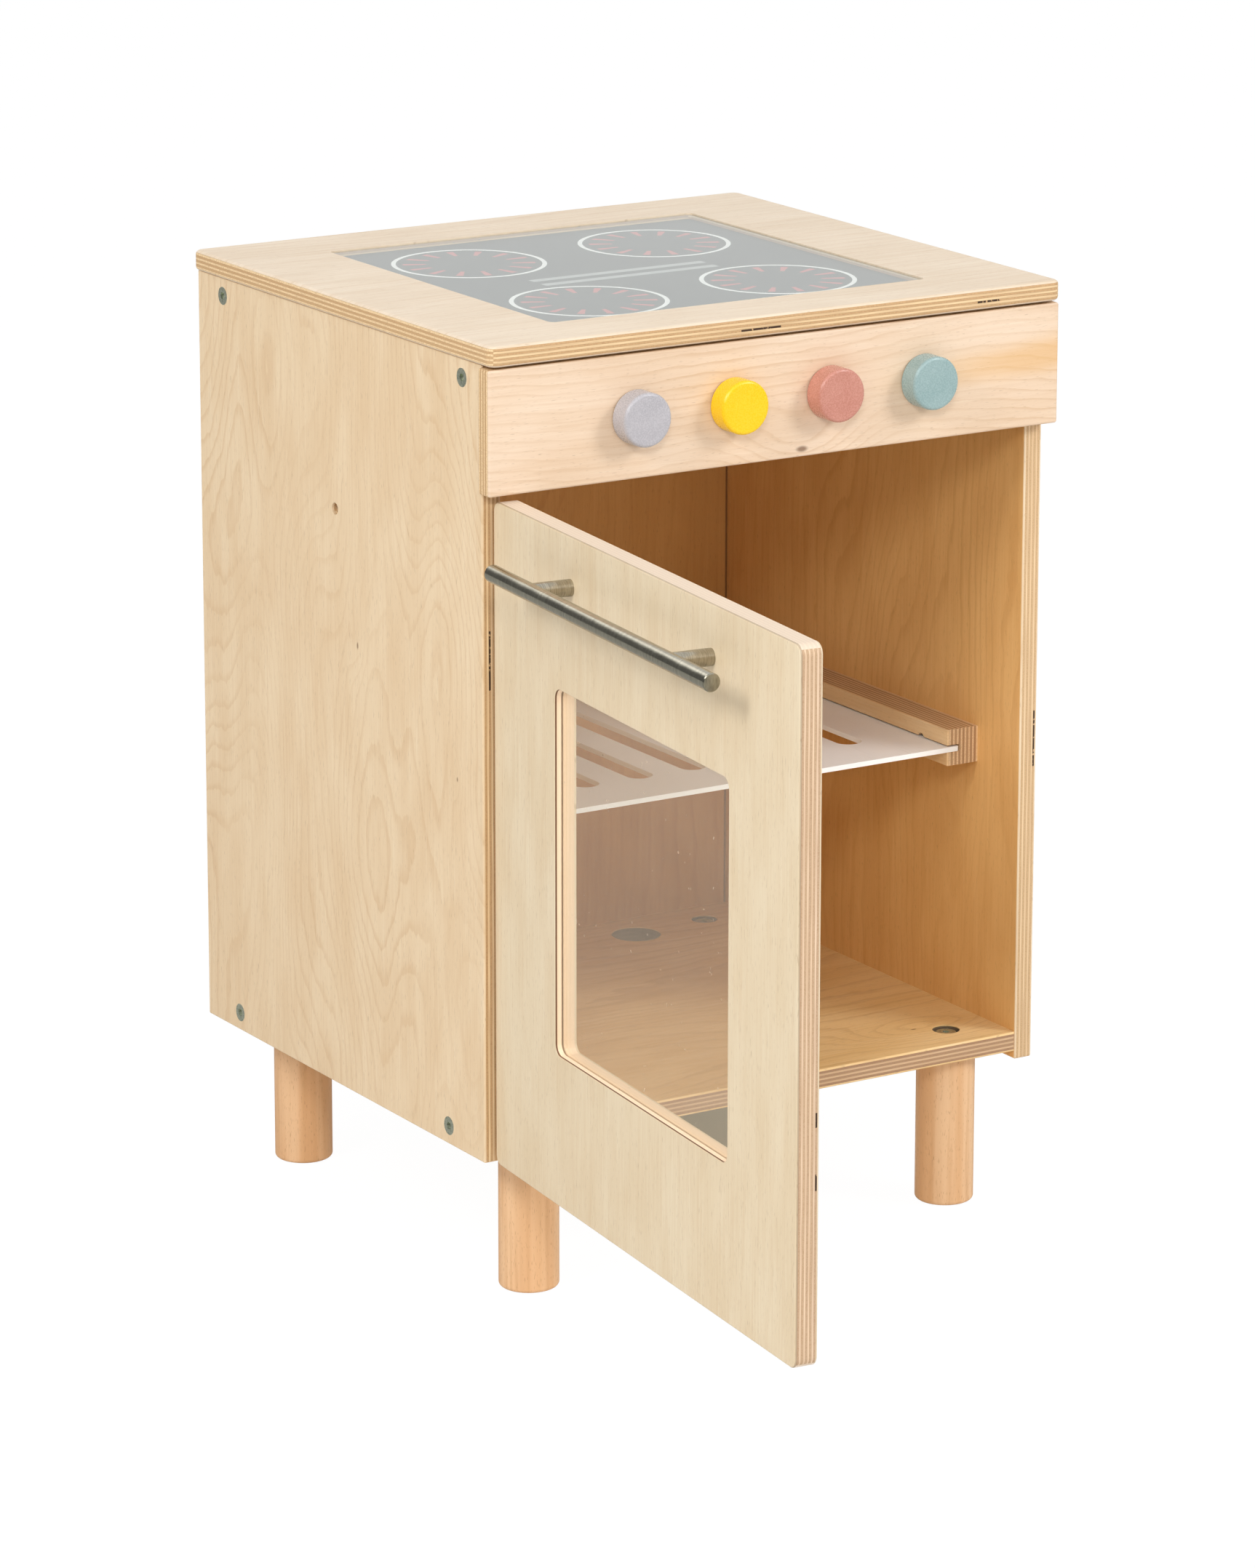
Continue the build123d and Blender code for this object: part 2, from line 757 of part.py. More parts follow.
with BuildPart() as handle_bar:
    with BuildSketch(Plane(origin=bar_start, x_dir=(0, 0, 1), z_dir=door_along)):
        Circle(bar_radius)
    extrude(amount=bar_length)
    chamfer(handle_bar.edges().filter_by(GeomType.CIRCLE), bar_chamfer)

with BuildPart() as handle_posts:
    with BuildSketch(leaf(0)):
        with Locations(post_places):
            Circle(post_radius)
    extrude(amount=bar_stand_off)
    add(handle_bar.part, mode=Mode.SUBTRACT)
    with Locations(leaf_back(0)):
        with Locations([(-x, z) for x, z in post_places]):
            Hole(handle_screw_radius, depth=handle_screw_reach)

handle_screw_shape = headed_bolt(
    handle_screw_radius,
    door_thickness + handle_screw_reach,
    handle_screw_head_radius,
    handle_screw_head,
    handle_screw_radius * 0.75,
)

with BuildPart() as handle_screws:
    with Locations(leaf_back(door_thickness)):
        with Locations([(-x, z) for x, z in post_places]):
            add(handle_screw_shape)

# ================================================================ hinges
leaf_face_x = inner_x - cabinet_leaf_thickness
cabinet_leaf_reach = cabinet_leaf_end - cabinet_leaf_start
cabinet_screw_ys = (
    cabinet_leaf_start + cabinet_leaf_reach / 4,
    cabinet_leaf_start + cabinet_leaf_reach * 3 / 4,
)

with BuildPart() as hinge_cabinet_leaves:
    for height in hinge_heights:
        with BuildSketch(level(height)):
            with Locations(
                (
                    cabinet_leaf_thickness / 2 - inner_x,
                    cabinet_leaf_start + cabinet_leaf_reach / 2,
                )
            ):
                Rectangle(cabinet_leaf_thickness, cabinet_leaf_reach)
        extrude(amount=cabinet_leaf_height / 2, both=True)
        with BuildSketch(level(height)):
            with Locations(
                (
                    cabinet_leaf_thickness / 2 - inner_x,
                    (cabinet_leaf_start + pivot_y) / 2,
                )
            ):
                Rectangle(cabinet_leaf_thickness, cabinet_leaf_start - pivot_y)
            with Locations((pivot_x, pivot_y)):
                Circle(eye_radius)
        extrude(amount=eye_height / 2, both=True)
        with BuildSketch(level(height)):
            with Locations((pivot_x, pivot_y)):
                Circle(pin_radius + running_play)
        extrude(amount=eye_height / 2, both=True, mode=Mode.SUBTRACT)
    with Locations(inwards(leaf_face_x, -1)):
        with Locations([(y, z) for y in cabinet_screw_ys for z in hinge_heights]):
            CounterSinkHole(leaf_screw_radius, leaf_screw_head_radius, counter_sink_angle=90)

ear_start = eye_height / 2 + eye_gap
leaf_plate_near = notch_width - pivot_from_edge
leaf_plate_deep = pivot_from_back - door_leaf_thickness

with BuildPart() as hinge_door_leaves:
    for height in hinge_heights:
        for ear_bottom in (height + ear_start, height - ear_start - ear_height):
            with BuildSketch(leaf_level(ear_bottom)):
                Circle(eye_radius)
                with Locations((leaf_plate_near / 2, (pivot_from_back - eye_radius) / 2)):
                    Rectangle(leaf_plate_near, pivot_from_back + eye_radius)
            extrude(amount=ear_height)
        with BuildSketch(leaf_level(height)):
            with Locations(
                (
                    leaf_plate_near + door_leaf_length / 2,
                    leaf_plate_deep + door_leaf_thickness / 2,
                )
            ):
                Rectangle(door_leaf_length, door_leaf_thickness)
        extrude(amount=ear_start + ear_height, both=True)
        with BuildSketch(leaf_level(height)):
            Circle(pin_radius)
        extrude(amount=ear_start + ear_height, both=True, mode=Mode.SUBTRACT)
    with Locations(leaf_back(door_thickness)):
        with Locations([(-x, z) for x, z in leaf_screws]):
            CounterSinkHole(leaf_screw_radius, leaf_screw_head_radius, counter_sink_angle=90)

with BuildPart() as hinge_pins:
    for height in hinge_heights:
        with BuildSketch(leaf_level(height)):
            Circle(pin_radius)
        extrude(amount=ear_start + ear_height, both=True)

cabinet_leaf_screw_shape = countersunk_screw(
    leaf_screw_radius,
    leaf_screw_head_radius,
    cabinet_leaf_thickness + leaf_screw_reach,
    leaf_screw_radius * 0.75,
)
door_leaf_screw_shape = countersunk_screw(
    leaf_screw_radius,
    leaf_screw_head_radius,
    door_leaf_thickness + leaf_screw_reach,
    leaf_screw_radius * 0.75,
)

with BuildPart() as hinge_cabinet_screws:
    with Locations(inwards(leaf_face_x, -1)):
        with Locations([(y, z) for y in cabinet_screw_ys for z in hinge_heights]):
            add(cabinet_leaf_screw_shape)

with BuildPart() as hinge_door_screws:
    with Locations(leaf_back(door_thickness)):
        with Locations([(-x, z) for x, z in leaf_screws]):
            add(door_leaf_screw_shape)

with BuildPart() as left_panel_bored:
    add(left_side_panel.part)
    with Locations(inwards(inner_x, -1)):
        with Locations([(y, z) for y in cabinet_screw_ys for z in hinge_heights]):
            Hole(leaf_screw_radius, depth=leaf_screw_reach)

# ================================================================ written pieces
pieces = {
    "left_side_panel": left_panel_bored,
    "right_side_panel": right_side_panel,
    "floor_panel": floor_panel,
    "back_panel": back_panel,
    "front_top_rail": front_top_rail,
    "rear_top_rail": rear_top_rail,
    "worktop": worktop,
    "hob_print": hob_print,
    "hob_glass": hob_glass,
    "fascia": fascia,
    "left_runner": left_runner,
    "right_runner": right_runner,
    "rack": rack,
    "leg_inserts": leg_inserts,
    "leg_bolts": leg_bolts,
    "connector_screws": connector_screws,
    "worktop_screws": worktop_screws,
    "runner_screws": runner_screws,
    "fascia_dowels": fascia_dowels,
    "back_panel_dowels": back_panel_dowels,
    "door_front_layer": door_front,
    "door_back_layer": door_back,
    "door_pane": door_pane,
    "handle_bar": handle_bar,
    "handle_posts": handle_posts,
    "handle_screws": handle_screws,
    "hinge_cabinet_leaves": hinge_cabinet_leaves,
    "hinge_door_leaves": hinge_door_leaves,
    "hinge_pins": hinge_pins,
    "hinge_cabinet_screws": hinge_cabinet_screws,
    "hinge_door_screws": hinge_door_screws,
}
for name, piece in pieces.items():
    piece.part.label = name
    export_step(piece.part, f"parts/{name}.step")
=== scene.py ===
# %% [markdown]
# # A toy oven in birch plywood
# The object is a child's oven: a plywood cabinet on four round beech legs, a hob set
# into the worktop, four painted knobs, a door with a clear pane that stands open, and
# a slotted rack on two grooved battens. The solids come from the CAD model, already in
# their places and in metres, and each has its final shape. So nothing is modelled here:
# the script gives every solid its finish, and then sets up floor, light and camera.
#
# Loading the frame comes first, because every later cell asks it for places and sizes.

import json
import math

import bmesh
import bpy
from mathutils import Matrix, Vector


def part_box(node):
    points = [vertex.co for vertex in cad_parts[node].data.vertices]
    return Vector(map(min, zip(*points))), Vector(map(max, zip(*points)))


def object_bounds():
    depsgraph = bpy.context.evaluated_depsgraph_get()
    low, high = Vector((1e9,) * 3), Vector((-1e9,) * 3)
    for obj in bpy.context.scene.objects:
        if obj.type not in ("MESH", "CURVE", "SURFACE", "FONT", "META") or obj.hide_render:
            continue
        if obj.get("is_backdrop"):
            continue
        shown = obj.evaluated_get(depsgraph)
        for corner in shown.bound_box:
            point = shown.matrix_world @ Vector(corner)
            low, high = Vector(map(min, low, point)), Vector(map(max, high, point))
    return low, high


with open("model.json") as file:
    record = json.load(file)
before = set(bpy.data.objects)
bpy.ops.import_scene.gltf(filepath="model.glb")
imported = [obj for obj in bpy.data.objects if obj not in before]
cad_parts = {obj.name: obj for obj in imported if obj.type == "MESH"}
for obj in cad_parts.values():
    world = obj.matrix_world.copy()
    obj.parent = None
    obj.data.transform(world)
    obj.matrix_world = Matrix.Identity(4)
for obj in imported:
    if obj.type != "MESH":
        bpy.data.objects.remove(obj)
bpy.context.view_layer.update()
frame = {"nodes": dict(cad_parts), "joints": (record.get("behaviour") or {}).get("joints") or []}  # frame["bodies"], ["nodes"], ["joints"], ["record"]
nodes = frame["nodes"]

# %% [markdown]
# ## A small language for materials
# A procedural material is a sum of masks and noises. Drawn as nodes, even a simple one
# fills a screen. Written as sums it stays readable, so a small class wraps a socket and
# answers to plus, minus, times and the rest by adding Math nodes. Its reflected forms
# let a plain number stand on the left, as in 1 - mask. Every other node comes from one
# method, `node`, that takes the node's type, its settings and its sockets.

# %% Sockets that can be added and multiplied
class Wire:
    """An output socket that can be used in sums."""

    def __init__(self, finish, socket):
        self.finish = finish
        self.socket = socket

    def output(self, name):
        return Wire(self.finish, self.socket.node.outputs[name])

    def __add__(self, other):
        return self.finish.maths("ADD", self, other)

    def __radd__(self, other):
        return self.finish.maths("ADD", other, self)

    def __sub__(self, other):
        return self.finish.maths("SUBTRACT", self, other)

    def __rsub__(self, other):
        return self.finish.maths("SUBTRACT", other, self)

    def __mul__(self, other):
        return self.finish.maths("MULTIPLY", self, other)

    def __rmul__(self, other):
        return self.finish.maths("MULTIPLY", other, self)

    def __truediv__(self, other):
        return self.finish.maths("DIVIDE", self, other)

    def __pow__(self, other):
        return self.finish.maths("POWER", self, other)

    def __mod__(self, other):
        return self.finish.maths("FLOORED_MODULO", self, other)

    def __abs__(self):
        return self.finish.maths("ABSOLUTE", self)

    def __gt__(self, other):
        return self.finish.maths("GREATER_THAN", self, other)

    def __lt__(self, other):
        return self.finish.maths("LESS_THAN", self, other)


print("a wire answers to + - * / ** % > < and abs()")


# %% A finish: one material being written
class Finish:
    """One material and the nodes that go into it."""

    def __init__(self, name):
        self.material = bpy.data.materials.new(name)
        self.material.use_nodes = True
        self.tree = self.material.node_tree
        self.tree.nodes.clear()

    def node(self, kind, settings=None, sockets=None):
        """Any node. A socket is named, or numbered where several share a name."""
        made = self.tree.nodes.new(kind)
        for key, value in (settings or {}).items():
            setattr(made, key, value)
        for key, value in (sockets or {}).items():
            if isinstance(key, int):
                socket = made.inputs[key]
            else:
                socket = next(s for s in made.inputs if s.enabled and s.name == key)
            if isinstance(value, Wire):
                self.tree.links.new(value.socket, socket)
            else:
                socket.default_value = value
        shown = [s for s in made.outputs if s.enabled]
        return Wire(self, shown[0]) if shown else made

    def maths(self, operation, *values):
        numbered = dict(enumerate(values))
        return self.node("ShaderNodeMath", {"operation": operation}, numbered)

    def away(self, x, y):
        """How far a point is from the place where x and y are nought."""
        return self.maths("SQRT", x * x + y * y)

    def mix(self, share, first, second, blend="MIX"):
        return self.node(
            "ShaderNodeMix",
            {"data_type": "RGBA", "blend_type": blend},
            {"Factor": share, "A": first, "B": second},
        )

    def fade(self, value, start, end, low=0.0, high=1.0):
        """Runs softly from low to high while the value runs from start to end."""
        return self.node(
            "ShaderNodeMapRange",
            {"interpolation_type": "SMOOTHSTEP"},
            {
                "Value": value, "From Min": start, "From Max": end,
                "To Min": low, "To Max": high,
            },
        )

    def join(self, x, y, z):
        return self.node("ShaderNodeCombineXYZ", sockets={"X": x, "Y": y, "Z": z})

    def noise(self, place, per_metre, seed=0.0, detail=2.0, roughness=0.5):
        """Noise with its own number of blotches to the metre in each direction."""
        shift = (seed, seed * 1.7, seed * 0.6)
        stretched = self.node(
            "ShaderNodeVectorMath",
            {"operation": "MULTIPLY_ADD"},
            {0: place, 1: per_metre, 2: shift},
        )
        return self.node(
            "ShaderNodeTexNoise",
            sockets={
                "Vector": stretched, "Scale": 1.0, "Detail": detail, "Roughness": roughness,
            },
        )

    def object_place(self, centre=(0, 0, 0), turn=(0, 0, 0)):
        """Object coordinates, from a centre and in a turned frame."""
        where = self.node("ShaderNodeTexCoord").output("Object")
        return self.node(
            "ShaderNodeMapping",
            {"vector_type": "TEXTURE"},
            {"Vector": where, "Location": centre, "Rotation": turn},
        )

    def object_facing(self, turn):
        """The way a surface faces, in the same turned frame."""
        facing = self.node("ShaderNodeTexCoord").output("Normal")
        return self.node(
            "ShaderNodeMapping",
            {"vector_type": "TEXTURE"},
            {"Vector": facing, "Rotation": turn},
        )

    def parts(self, place):
        split = self.node("ShaderNodeSeparateXYZ", sockets={"Vector": place})
        return split, split.output("Y"), split.output("Z")

    def bump(self, height, distance, strength=1.0):
        return self.node(
            "ShaderNodeBump",
            sockets={"Height": height, "Distance": distance, "Strength": strength},
        )

    def surface(self, **sockets):
        named = {key.replace("_", " "): value for key, value in sockets.items()}
        return self.node("ShaderNodeBsdfPrincipled", sockets=named)

    def done(self, shader):
        self.node("ShaderNodeOutputMaterial", sockets={"Surface": shader})
        return self.material


print("finish toolkit ready")


# %% Colours
def paint(red, green, blue):
    """A colour given as 0 to 255, turned into the linear values that shaders use."""
    linear = [
        v / 255 / 12.92 if v / 255 <= 0.04045 else ((v / 255 + 0.055) / 1.055) ** 2.4
        for v in (red, green, blue)
    ]
    return (*linear, 1.0)


def between(first, second, share):
    """A colour part of the way from one to another, worked out before any node is made."""
    return tuple(a + (b - a) * share for a, b in zip(first, second))


WHITE = (1.0, 1.0, 1.0, 1.0)
print("a mid grey of 128 is", round(paint(128, 128, 128)[0], 3), "in linear light")

# %% [markdown]
# ## Birch plywood
# Plywood is thin veneers glued with their grain crossing. Its faces show rotary-cut
# birch, pale cream with wandering contour lines, and its edges show the veneers as
# stripes. The veneers that run along an edge look pale there, and those that end at it
# look browner, because their open pores drink light.
#
# One material could be painted on the faces and another on the edges, but rounded
# edges cut through the first veneers and would then need a painted border. Here the
# depth below the face decides instead: within the first veneer the point is face wood,
# and deeper it belongs to the veneer of that depth. Arrises, holes and rounded corners
# then come out as they do at a sanding belt. Each board gets its own frame, with x
# along its grain, y across it and z through it.
#
# The face comes first. Rotary cutting peels a veneer off a turning log, so the growth
# rings come out as contour lines of a gently rolling height. That is how they are drawn:
# a height that rises across the board and rolls a little, cut into lines by taking its
# fraction. A knot is a small hill in that height, so the lines bend round it unasked.

# %% Face grain
def face_wood(f, face, seed, pale, warm, straight, curves, bold, knots):
    """Rotary-cut birch. face is the place with x along the grain and z naming the side.

    straight is how many lines cross a metre, curves is how far they wander, and bold is
    how dark they are. A knot is (along, across, size, reach of the hill, lines on it).
    """
    along, across, _ = f.parts(face)
    broad = f.noise(face, (3.0, 9.0, 1.0), seed, 1.0)
    ripple = f.noise(face, (38.0, 120.0, 1.0), seed + 3.1, 2.0)
    height = across * straight + broad * curves + ripple * 0.7
    core = None
    for knot_along, knot_across, knot_size, reach, rings in knots:
        away = f.away((along - knot_along) / 2.2, across - knot_across)
        height = height + f.fade(away, reach, 0.0) * rings
        heart = f.fade(away, knot_size, knot_size * 0.3)
        core = heart if core is None else f.maths("MAXIMUM", core, heart)
    ring = f.maths("FRACT", height)
    late = f.fade(ring, 0.62, 0.92) * f.fade(ring, 1.0, 0.95) + ring * 0.12
    strength = f.fade(f.noise(face, (6.0, 14.0, 1.0), seed + 8.3, 1.0), 0.3, 0.7, 0.35, 1.0)
    fibre = f.noise(face, (16.0, 620.0, 1.0), seed + 5.7, 3.0, 0.62)
    silk = f.noise(face, (14.0, 45.0, 1.0), seed + 1.9, 2.0)
    pores = f.fade(f.noise(face, (230.0, 2400.0, 1.0), seed + 9.9, 0.0), 0.70, 0.82)
    line = between(warm, paint(196, 150, 96), 0.62)
    wood = f.mix(f.fade(silk, 0.25, 0.75), pale, warm)
    wood = f.mix(late * strength * bold, wood, line)
    wood = f.mix(f.fade(fibre, 0.45, 0.75, 0.0, 0.20), wood, line)
    wood = f.mix(f.fade(fibre, 0.45, 0.25, 0.0, 0.15), wood, paint(253, 243, 224))
    wood = f.mix(pores * 0.30, wood, paint(150, 112, 74))
    if core is not None:
        wood = f.mix(core * 0.75, wood, paint(112, 74, 44))
    return wood, fibre


print("face grain ready")

# %% [markdown]
# The edge is counted instead of drawn. Depth divided by a veneer's thickness gives the
# veneer's number, and whether that number is odd or even says which way its grain runs.
# A little slow noise on the depth keeps the stripes from being ruled lines. Cheap inner
# veneers often fall short of each other and leave a gap in one stripe, which is the
# surest sign of real plywood, so a board can be given some. The gap is drawn dark, as
# painted shade in the hollow.

# %% Edge stripes
def edge_wood(f, place, end, thickness, plies, seed, gaps, cut):
    """The veneers as an edge shows them. end is 1 on an edge that the face grain runs into.

    cut is the tone of veneers that run along the edge, then of those that end at it. A
    gap is (from, to, veneer, edge): two places along the grain, the veneer's number
    counted from the low side of z, and 1 or -1 for the edge on that side of y.
    """
    along, across, through = f.parts(place)
    waver = f.noise(place, (9.0, 9.0, 30.0), seed + 2.2, 1.0)
    layer = (through / thickness + 0.5) * plies + (waver - 0.5) * 0.35
    number = f.maths("FLOOR", layer)
    within = f.maths("FRACT", layer)
    crossing = number % 2.0
    dark = abs(crossing - end)
    tone = f.node("ShaderNodeTexWhiteNoise", {"noise_dimensions": "1D"}, {"W": number + seed})
    streaks = f.noise(place, (26.0, 1300.0, 1900.0), seed + 4.4, 1.0)
    pores = f.noise(place, (1500.0, 1500.0, 1500.0), seed + 6.6, 1.0, 0.7)
    grain = f.mix(dark, streaks, pores)
    wood = f.mix(dark * 0.82, *cut)
    wood = f.mix(f.fade(grain, 0.35, 0.8, 0.0, 0.5), wood, paint(160, 118, 76))
    wood = f.mix(tone * 0.28, wood, paint(214, 178, 134))
    glue = f.fade(abs(within - 0.5), 0.40, 0.49)
    wood = f.mix(glue * 0.42, wood, paint(128, 92, 58))
    for low, high, veneer, edge in gaps:
        hollow_shade = (
            (along > low)
            * (along < high)
            * f.fade(abs(layer - veneer - 0.5), 0.52, 0.36)
            * (across * edge > 0.0)
        )
        ragged = f.fade(f.noise(place, (700.0, 300.0, 300.0), seed + 7.7, 1.0), 0.34, 0.44)
        # painted shade in the hollow where a veneer falls short
        wood = f.mix(hollow_shade * ragged * 0.95, wood, paint(48, 24, 8))
    return wood, grain


print("edge stripes ready")

# %% [markdown]
# A finished board shows more than its two kinds of wood. The face that lines the oven
# has painted shade, a darker and warmer tint, with a dark line where it meets the next
# board. Where a board is glued up from two, or a sheet is let into it, a thin seam runs
# round its edge, and under the worktop's lower arris the same line is painted shadow.
# Bored holes get painted shade inside. The door's ends are painted paler, as painted
# light on its top edge, and the wall of its window is paler than the rest. Each of these
# is a mask in the board's own frame and gets a helper of its own, so that a board
# without one has no nodes for it.

# %% Painted lining shade, painted end light, seam and shadow line, painted bore shade
SQUARE_ON = 0.93  # facing this straight through a board counts as its flat side
END_ON = 0.6  # facing this much along the grain counts as an end


def paint_lining_shade(f, wood, across, inner_face, tint, corner):
    """Tints the face that lines the oven with painted shade. corner is how far out the dark
    line lies.
    """
    # painted shade: the lining is multiplied by a darker, warmer tint
    wood = f.mix(inner_face, wood, f.mix(1.0, wood, tint, "MULTIPLY"))
    if corner is None:
        return wood
    crack = f.fade(abs(across), corner - 0.0018, corner - 0.0010, 0.0, 0.7)
    return f.mix(crack * inner_face, wood, paint(84, 48, 20))


def pale_rim(f, stripes, place, end, seam_and_shadow_line, rim):
    """Pales the ends as painted light, and the wall of a window on the far side of the seam."""
    reach, wall_tone, painted_end_light = rim
    along, across, through = f.parts(place)
    window = (abs(along) < reach) * (abs(across) < reach)
    # painted light: the ends take a paler tone, as light from above falls on the door's top
    # edge
    stripes = f.mix(end * 0.75, stripes, painted_end_light)
    return f.mix(window * (through > seam_and_shadow_line) * 0.8, stripes, wall_tone), window


def draw_seam_and_shadow_line(f, colour, through, facing_through, seam_and_shadow_line, share):
    # on the door a glued seam, on the worktop a painted shadow line under its lower arris
    line = f.fade(abs(through - seam_and_shadow_line), 0.00060, 0.00035) * share
    line = line * (abs(facing_through) < SQUARE_ON)
    return f.mix(line, colour, paint(104, 62, 30))


def paint_bore_shade(f, colour, along, across, below_face, bores):
    """Paints shade on the walls of holes. A bore is (along, across, radius)."""
    for bore_along, bore_across, radius in bores:
        away = f.away(along - bore_along, across - bore_across)
        bore_shade = f.fade(away, radius + 0.0006, radius + 0.0002) * below_face
        # painted shade inside the bore
        colour = f.mix(bore_shade * 0.85, colour, paint(84, 74, 60))
    return colour


print("board extras ready")

# %% The board material
CUT_BIRCH = (paint(240, 211, 166), paint(190, 148, 102))
# painted shade: the tint that makes the face lining the oven darker and warmer
LINING_SHADE_TINT = paint(243, 210, 160)


def birch(name, centre, turn, thickness, plies, seed, pale, warm,
          straight=60.0, curves=12.0, bold=0.4, knots=(), streak=None,
          cut=CUT_BIRCH, gaps=(), inner=0, lining_shade=LINING_SHADE_TINT, joint=None,
          seam_and_shadow_line=None, rim=None, bores=()):
    """Plywood for one board, with the face and edge that face_wood and edge_wood write.

    inner is 1 or -1 for the side of z that lines the oven, which gets painted shade from
    the lining tint and a dark line at joint. The seam height marks a glued seam on the door
    and a painted shadow line under the worktop's arris. rim is (how far from the middle
    still counts as the window, tone of its wall, tone of the ends, which is painted light).
    """
    f = Finish(name)
    place = f.object_place(centre, turn)
    along, across, through = f.parts(place)
    facing_along, _, facing_through = f.parts(f.object_facing(turn))

    face = f.join(along, across, f.maths("SIGN", through) * 3.0)
    wood, fibre = face_wood(f, face, seed, pale, warm, straight, curves, bold, knots)
    # the side that lines the oven gets painted shade
    if inner:
        inner_face = facing_through * inner > SQUARE_ON
        wood = paint_lining_shade(f, wood, across, inner_face, lining_shade, joint)
    if streak is not None:
        wood = streak(f, wood, along, across, face)

    end = abs(facing_along) > END_ON
    stripes, grain = edge_wood(f, place, end, thickness, plies, seed, gaps, cut)
    seam_and_shadow_share = 0.6
    if rim is not None:
        stripes, window = pale_rim(f, stripes, place, end, seam_and_shadow_line, rim)
        seam_and_shadow_share = window * 0.55 + 0.40

    depth = abs(through) / thickness * plies
    first_glue = plies / 2 - 1.0
    inside = f.fade(depth, first_glue + 0.02, first_glue + 0.14, 1.0, 0.0)
    colour = f.mix(inside, wood, stripes)
    if seam_and_shadow_line is not None:
        colour = draw_seam_and_shadow_line(f, colour, through, facing_through, seam_and_shadow_line, seam_and_shadow_share)
    # painted shade on the walls of bored holes
    if bores:
        colour = paint_bore_shade(f, colour, along, across, depth < plies / 2 - 0.4, bores)
    skin = f.surface(
        Base_Color=colour,
        Roughness=f.fade(fibre, 0.3, 0.7, 0.40, 0.52) + inside * 0.16,
        IOR=1.45,
        Normal=f.bump(fibre * (1 - inside) + grain * inside * 2.2, 0.00006, 0.55),
    )
    return f.done(skin)


print("board material ready")

# %% [markdown]
# ## The boards of the cabinet
# The two sides have upright grain. The worktop, the floor and the fascia have theirs
# from side to side. One shared recipe would do for all, but a maker picks each board
# from another sheet, so each has its own seed, its own two tones and its own line
# spacing. The two sides and the worktop have the small gaps in their edges, and the
# floor has four bored holes for the legs' bolts and a larger one.

# %% Places, turns and dressing
def size(name):
    """The sides of the box round a CAD node."""
    low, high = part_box(name)
    return high - low


def middle(*names):
    """The centre of the box round some CAD nodes."""
    lows, highs = zip(*(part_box(name) for name in names))
    low = Vector(min(c[i] for c in lows) for i in range(3))
    high = Vector(max(c[i] for c in highs) for i in range(3))
    return tuple((low + high) / 2)


def turned(along, across):
    """The turn that lays a board's own x along one direction and its y along another."""
    x, y = Vector(along), Vector(across)
    return tuple(Matrix((x, y, x.cross(y))).transposed().to_euler())


def dress(name, material):
    """Puts a material in every slot of a CAD node."""
    for slot in nodes[name].material_slots:
        slot.material = material


board = size("worktop").z
right, back, up = (1, 0, 0), (0, 1, 0), (0, 0, 1)
print("board thickness in mm", round(board * 1000, 2))

# %% Dress the worktop and the floor
PLIES = 9
BOLT_BORE = 0.00825  # radius of the counterbore over a leg's bolt
LARGE_BORE = (0.0905, 0.1285, 0.0155)
bolt_bores = [(x, y, BOLT_BORE) for x in (-0.1445, 0.1445) for y in (-0.134, 0.134)]
# the worktop's seam height marks a painted shadow line under its lower arris
dress(
    "worktop",
    birch("worktop birch", middle("worktop"), turned(right, back), board, PLIES, 4.0,
          paint(236, 218, 194), paint(229, 209, 183), 90.0, 9.0, 0.20, seam_and_shadow_line=-0.0058,
          gaps=((-0.0287, -0.0023, 3, -1), (0.1318, 0.1471, 3, -1))),
)
dress(
    "floor_panel",
    birch("floor birch", middle("floor_panel"), turned(right, back), board, PLIES, 11.0,
          paint(247, 212, 156), paint(238, 198, 136), 80.0, 14.0, 0.40,
          knots=((0.128, -0.124, 0.0012, 0.03, 3.0),),
          cut=(paint(214, 178, 142), paint(158, 119, 90)),
          bores=[LARGE_BORE, *bolt_bores]),
)
print("worktop and floor dressed,", len(bolt_bores) + 1, "bores darkened")

# %% Dress the sides and the back
# The oven sides of these boards get painted shade from a lining tint. It is lighter on the
# right side, where more light comes in, and darker on the back.
dress(
    "left_side_panel",
    birch("left side birch", middle("left_side_panel"), turned(up, back), board, PLIES,
          21.0, paint(233, 209, 174), paint(226, 198, 160), 80.0, 30.0, 0.37, inner=-1,
          knots=((0.041, -0.024, 0.0013, 0.015, 1.5), (-0.012, -0.137, 0.0009, 0.010, 1.0)),
          gaps=((0.045, 0.079, 5, -1),)),
)
dress(
    "right_side_panel",
    birch("right side birch", middle("right_side_panel"), turned(up, back), board, PLIES,
          33.0, paint(241, 218, 184), paint(233, 206, 169), 90.0, 18.0, 0.36, inner=1,
          gaps=((-0.0508, -0.0170, 1, -1),), lining_shade=paint(250, 221, 172),
          cut=(paint(238, 208, 166), paint(208, 170, 126))),
)
dress(
    "back_panel",
    birch("back birch", middle("back_panel"), turned(up, right), board, PLIES, 45.0,
          paint(242, 219, 184), paint(234, 208, 169), 110.0, 12.0, 0.30, inner=-1,
          lining_shade=paint(236, 200, 146), joint=0.1765),
)
print("sides and back dressed")

# %% [markdown]
# ## The fascia
# The fascia came from a rosier sheet with a small knot near its lower edge and an amber
# streak at its right end, which is what makes it look like that one board and no other.
# The knot goes in with the others of its kind. The streak could be one more option of
# the board material, but no other board has one, so the fascia brings its own function.

